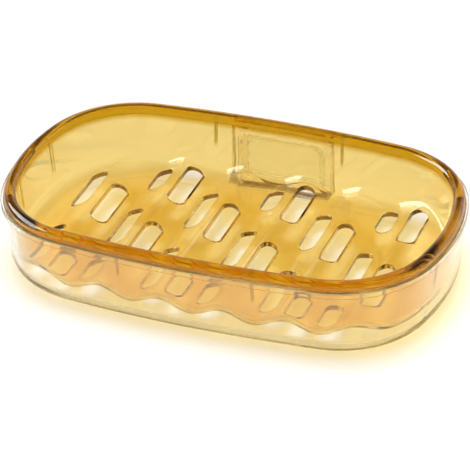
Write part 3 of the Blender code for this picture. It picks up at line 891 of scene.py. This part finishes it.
class SOAPHOLDER_OT_wall_plate(bpy.types.Operator):
    """Build the wall plate's tongue, neck and flange with a recess for the pad"""

    bl_idname = "soap_holder.wall_plate"
    bl_label = "Wall Plate"

    def execute(self, context):
        scene = context.scene
        rim, tray, tub = scene.soap_rim, scene.soap_tray, scene.soap_tub
        plate, finish = scene.soap_plate, scene.soap_finish
        socket_back = back_of_tub(rim, tray, tub) + tub.socket_depth
        tongue_back = socket_back - tub.socket_back_wall - plate.gap
        tongue_front = tongue_back - plate.tongue
        tongue_top = tub.socket_height - tub.channel_roof - plate.gap
        bm = panel((tub.socket_width - tub.socket_lip) / 2 - plate.gap, tongue_front, tongue_back,
                   0.0, tongue_top, plate.tongue_corner, 0.0)

        def lead_edge(start, end):
            return min(start.z, end.z) > tongue_top / 2 and not along_y(start, end)

        round_edges(bm, lead_edge, plate.tongue_lead_in, SMALL_EDGE_STEPS)
        moulding = make_object("plate_moulding", bm)
        flange_front = socket_back + plate.gap
        flange_back = flange_front + plate.flange
        neck = panel(tub.socket_width / 2 - tub.socket_lip - plate.gap,
                     tongue_back - plate.tongue / 2, flange_front + plate.flange / 2, 0.0,
                     tub.socket_height - tub.socket_top_bar - plate.gap, tub.window_corner, 0.0)
        combine(moulding, make_object("plate_neck", neck), "UNION")
        flange_top = tub.socket_height - plate.flange_below
        flange = panel(tub.socket_width / 2 - plate.flange_inside, flange_front, flange_back, 0.0,
                       flange_top, plate.flange_corner, plate.flange_corner / 2)
        round_edges(flange, lambda a, b: not along_y(a, b), plate.flange_edge, SMALL_EDGE_STEPS)
        combine(moulding, make_object("plate_flange", flange), "UNION")
        recess = key_shape("key_recess", tub, plate, flange_back - plate.recess_depth,
                           flange_back + tub.fillet, 0.0)
        combine(moulding, recess, "DIFFERENCE")
        dress(moulding, see_through("plate_plastic", finish.plate_index, finish.plate_kept,
                                    finish.plate, finish.plate, finish.clear_density,
                                    finish.plate_polish, finish.handling, finish.plate_ripple))
        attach(moulding, "wall_mount")
        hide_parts("wall_plate")
        return {"FINISHED"}


class SOAPHOLDER_OT_suction_pad(bpy.types.Operator):
    """Build the soft pad with its shallow dish and its key"""

    bl_idname = "soap_holder.suction_pad"
    bl_label = "Suction Pad"

    def execute(self, context):
        scene = context.scene
        rim, tray, tub = scene.soap_rim, scene.soap_tray, scene.soap_tub
        plate, finish = scene.soap_plate, scene.soap_finish
        flange_front = back_of_tub(rim, tray, tub) + tub.socket_depth + plate.gap
        pad_front = flange_front + plate.flange + tub.seat_gap
        flange_top = tub.socket_height - plate.flange_below
        bm = panel(tub.socket_width / 2 - plate.flange_inside, pad_front, pad_front + plate.pad,
                   plate.pad_inset, flange_top - plate.pad_inset, plate.pad_corner, plate.pad_corner)
        face = max(bm.faces, key=lambda item: item.calc_center_median().y)
        bmesh.ops.inset_region(bm, faces=[face], thickness=plate.pad_rim, use_even_offset=True)
        bmesh.ops.inset_region(bm, faces=[face], thickness=plate.pad_slope, depth=-plate.pad_dish,
                               use_even_offset=True)
        moulding = make_object("pad_moulding", bm)
        key_front = flange_front + plate.flange - plate.recess_depth + plate.key_gap
        key = key_shape("pad_key", tub, plate, key_front, pad_front + plate.pad / 4, plate.key_gap)
        combine(moulding, key, "UNION")
        dress(moulding, see_through("soft_pad", finish.plate_index, finish.plate_kept, finish.pad,
                                    finish.pad, finish.clear_density, finish.soft_polish,
                                    finish.soft_handling, finish.plate_ripple))
        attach(moulding, "wall_mount")
        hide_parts("suction_pad")
        return {"FINISHED"}


class SOAPHOLDER_OT_stage(bpy.types.Operator):
    """Build the pale floor, the soft studio lights and the camera"""

    bl_idname = "soap_holder.stage"
    bl_label = "Stage"

    def execute(self, context):
        scene = context.scene
        setup = scene.soap_stage
        self.floor(setup)
        self.sky(scene, setup)
        self.lamps(scene)
        self.camera(scene, setup)
        scene.view_settings.view_transform = "Standard"
        return {"FINISHED"}

    def floor(self, setup):
        """A wide pale floor that the camera sees a little nearer to white."""
        bm = bmesh.new()
        bmesh.ops.create_grid(bm, x_segments=1, y_segments=1, size=FLOOR_HALF)
        bmesh.ops.translate(bm, verts=bm.verts, vec=(0.0, 0.0, -FLOOR_GAP))
        floor = make_object("floor", bm)
        material, tree, shader = blank("pale_floor")
        seen = node(tree, "ShaderNodeLightPath")["Is Camera Ray"]
        fill(tree, shader, Base_Color=setup.floor_colour, Roughness=FLOOR_ROUGHNESS,
             Specular_IOR_Level=0.0, Emission_Color=WHITE,
             Emission_Strength=calculate(tree, "MULTIPLY", seen, setup.floor_glow))
        floor.data.materials.append(material)

    def sky(self, scene, setup):
        """Even soft light, and the room that gloss and glass see in it."""
        world = bpy.data.worlds.new("studio")
        world.use_nodes = True
        tree = world.node_tree
        rays = node(tree, "ShaderNodeLightPath")
        through = calculate(tree, "MAXIMUM", rays["Is Glossy Ray"], rays["Is Transmission Ray"])
        direct = ramp(tree, rays["Diffuse Depth"], 1.0, 0.0)
        seen = calculate(tree, "MULTIPLY", through, direct)
        place = node(tree, "ShaderNodeTexCoord")["Generated"]
        way = node(tree, "ShaderNodeSeparateXYZ", Vector=place)
        front = ramp(tree, way["Y"], *FRONT_FADE)
        band = calculate(tree, "MULTIPLY", ramp(tree, way["Z"], *BAND_TOP),
                         ramp(tree, way["Z"], *BAND_FOOT))
        shallow = ramp(tree, rays["Transmission Depth"], *SHALLOW_PATH)
        dark = calculate(tree, "MAXIMUM", front, calculate(tree, "MULTIPLY", band, shallow))
        room = mix(tree, dark, WHITE, setup.room_colour)
        shown = calculate(tree, "MAXIMUM", rays["Is Camera Ray"], seen)
        strength = ramp(tree, shown, 0.0, 1.0, setup.sky_strength, 1.0)
        fill(tree, tree.nodes["Background"], Color=mix(tree, seen, WHITE, room), Strength=strength)
        scene.world = world
        scene.cycles.max_bounces = BOUNCES
        scene.cycles.glossy_bounces = BOUNCES
        scene.cycles.transmission_bounces = BOUNCES
        scene.cycles.transparent_max_bounces = BOUNCES

    def lamps(self, scene):
        """Two softboxes that face the holder."""
        for name, place, wide, tall, power, mirrored in LAMPS:
            light = bpy.data.lights.new(name, "AREA")
            light.shape = "RECTANGLE"
            light.size = wide
            light.size_y = tall
            light.energy = power
            lamp = bpy.data.objects.new(name, light)
            lamp.location = place
            lamp.rotation_euler = (-Vector(place)).to_track_quat("-Z", "Y").to_euler()
            lamp.visible_transmission = False
            lamp.visible_glossy = mirrored
            lamp.visible_diffuse = not mirrored
            scene.collection.objects.link(lamp)

    def camera(self, scene, setup):
        """The camera that took the photo, as far as the rim tells it."""
        lens = bpy.data.cameras.new("camera")
        lens.sensor_width = SENSOR_WIDTH
        lens.lens = setup.focal_length
        lens.shift_x = setup.shift_x
        lens.shift_y = setup.shift_y
        lens.clip_start = NEAREST
        lens.clip_end = FARTHEST
        camera = bpy.data.objects.new("camera", lens)
        turn, rise, roll = setup.azimuth, setup.elevation, setup.roll
        back = Vector((sin(turn) * cos(rise), -cos(turn) * cos(rise), sin(rise)))
        right = Vector((cos(turn), sin(turn), 0.0))
        up = back.cross(right)
        across = cos(roll) * right + sin(roll) * up
        upward = -sin(roll) * right + cos(roll) * up
        pose = Matrix((across, upward, back)).transposed().to_4x4()
        target = Vector((0.0, 0.0, setup.aim_height))
        camera.matrix_world = Matrix.Translation(target + back * setup.distance) @ pose
        scene.collection.objects.link(camera)
        scene.camera = camera


class SOAPHOLDER_PT_panel(bpy.types.Panel):
    """List the holder's pieces and their settings"""

    bl_idname = "SOAPHOLDER_PT_panel"
    bl_label = "Soap Holder"
    bl_space_type = "VIEW_3D"
    bl_region_type = "UI"
    bl_category = "Soap Holder"

    def draw(self, context):
        layout = self.layout
        for operator in PIECES:
            layout.operator(operator.bl_idname)
        for name in SETTINGS:
            box = layout.box()
            settings = getattr(context.scene, name)
            for key in settings.__annotations__:
                box.prop(settings, key)


PIECES = (
    SOAPHOLDER_OT_water_tub,
    SOAPHOLDER_OT_drain_tray,
    SOAPHOLDER_OT_wall_plate,
    SOAPHOLDER_OT_suction_pad,
    SOAPHOLDER_OT_stage,
)
SETTINGS = {
    "soap_rim": RimPlan,
    "soap_tray": TraySizes,
    "soap_tub": TubSizes,
    "soap_plate": PlateSizes,
    "soap_finish": Finishes,
    "soap_stage": StageSettings,
}


def register():
    for group in SETTINGS.values():
        bpy.utils.register_class(group)
    for name, group in SETTINGS.items():
        setattr(bpy.types.Scene, name, PointerProperty(type=group))
    for operator in PIECES:
        bpy.utils.register_class(operator)
    bpy.utils.register_class(SOAPHOLDER_PT_panel)


def unregister():
    bpy.utils.unregister_class(SOAPHOLDER_PT_panel)
    for operator in reversed(PIECES):
        bpy.utils.unregister_class(operator)
    for name, group in SETTINGS.items():
        delattr(bpy.types.Scene, name)
        bpy.utils.unregister_class(group)


def main():
    """Build every piece and the stage."""
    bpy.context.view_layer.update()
    register()
    for operator in PIECES:
        group, name = operator.bl_idname.split(".")
        getattr(getattr(bpy.ops, group), name)()


if __name__ == "__main__":
    main()
